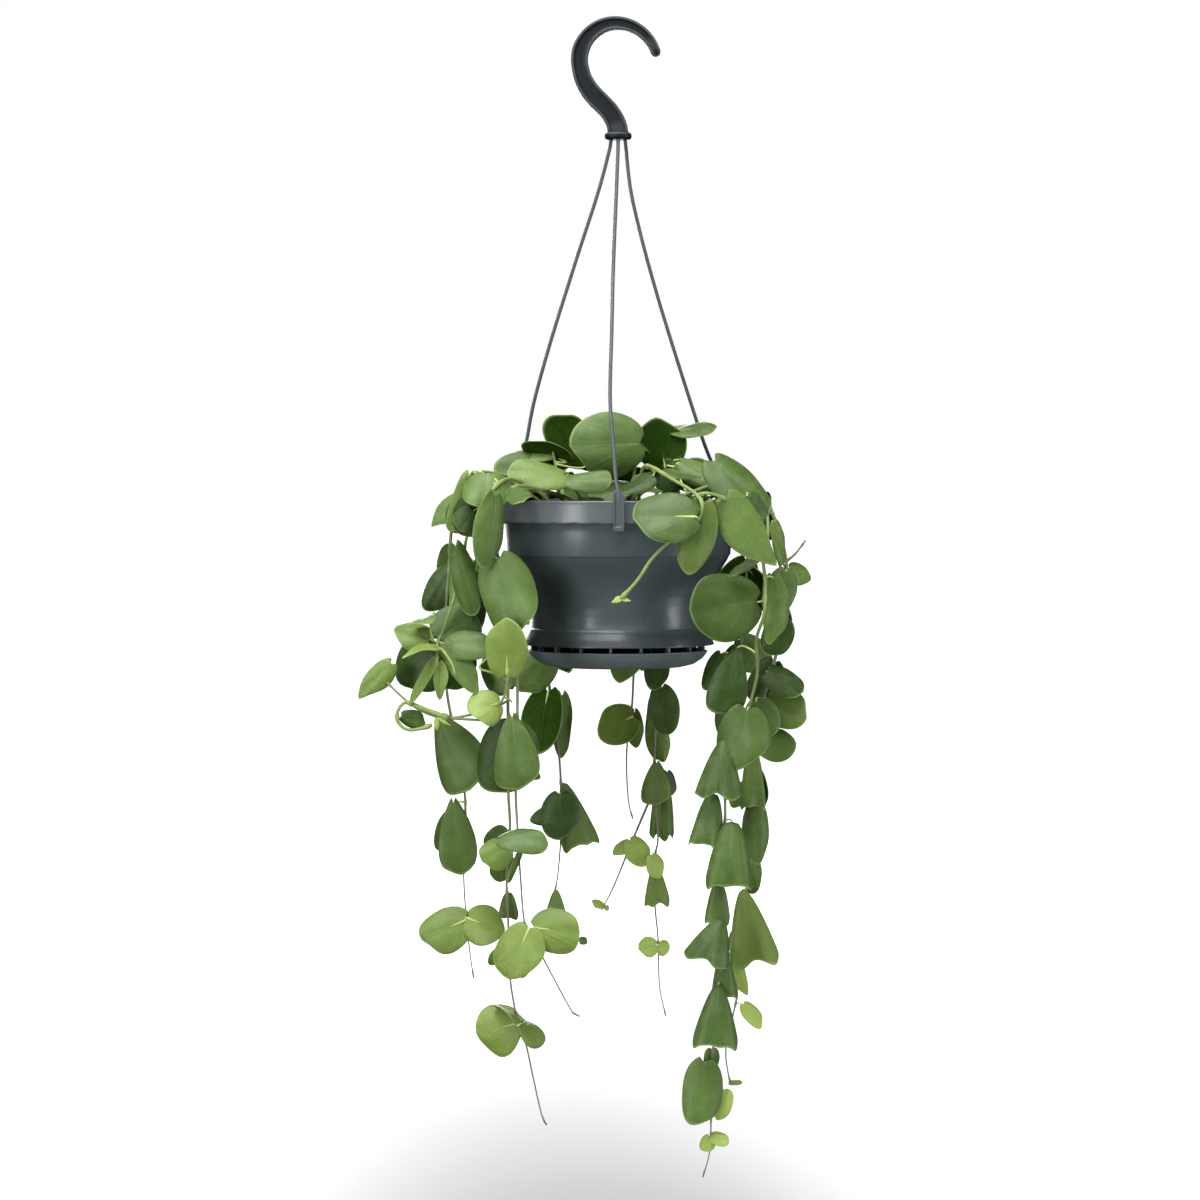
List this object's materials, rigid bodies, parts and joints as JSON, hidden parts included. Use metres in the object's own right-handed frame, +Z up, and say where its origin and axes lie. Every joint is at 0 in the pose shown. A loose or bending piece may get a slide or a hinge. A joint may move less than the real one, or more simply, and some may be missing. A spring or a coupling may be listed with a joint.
{
  "type": "potted dischidia",
  "caption": "Trailing dischidia in a grey hanging nursery pot with a clip-on saucer, three moulded hanger strands and a black swan-neck hook.",
  "frame": {"origin": "inner top of the hook's bow, where it bears on what it hangs from, on the pot's own axis", "axes": "+Z up along the pot's axis; -Y is the front, which the front strand and its clip face; +X to the right seen from the front"},
  "size_m": [0.2741, 0.2096, 0.7031],
  "materials": {
    "hook_plastic": "moulded anthracite polypropylene, satin",
    "strand_plastic": "moulded mid grey polypropylene, satin",
    "pot_plastic": "moulded slate grey polypropylene, half gloss",
    "potting_mix": "damp bark and peat crumb",
    "foliage": "fleshy satin leaves on thin stems"
  },
  "bodies": {
    "root": {"hanger_hook": "hook_plastic", "hanger_strand_front": "strand_plastic", "hanger_strand_left": "strand_plastic", "hanger_strand_right": "strand_plastic", "pot": "pot_plastic", "drip_saucer": "pot_plastic", "soil": "potting_mix", "vine_right_front": "foliage", "vine_right_side": "foliage", "vine_right_back": "foliage", "vine_front_right": "foliage", "vine_front_top": "foliage", "vine_top_left": "foliage", "vine_top_middle": "foliage", "vine_top_right": "foliage", "vine_top_back": "foliage", "vine_top_side": "foliage", "vine_top_rim": "foliage", "vine_left_outer": "foliage", "vine_left_cluster": "foliage", "vine_left_front": "foliage", "vine_left_inner": "foliage", "vine_back_left": "foliage", "vine_back_middle": "foliage", "vine_back_right": "foliage"}
  },
  "joints": []
}
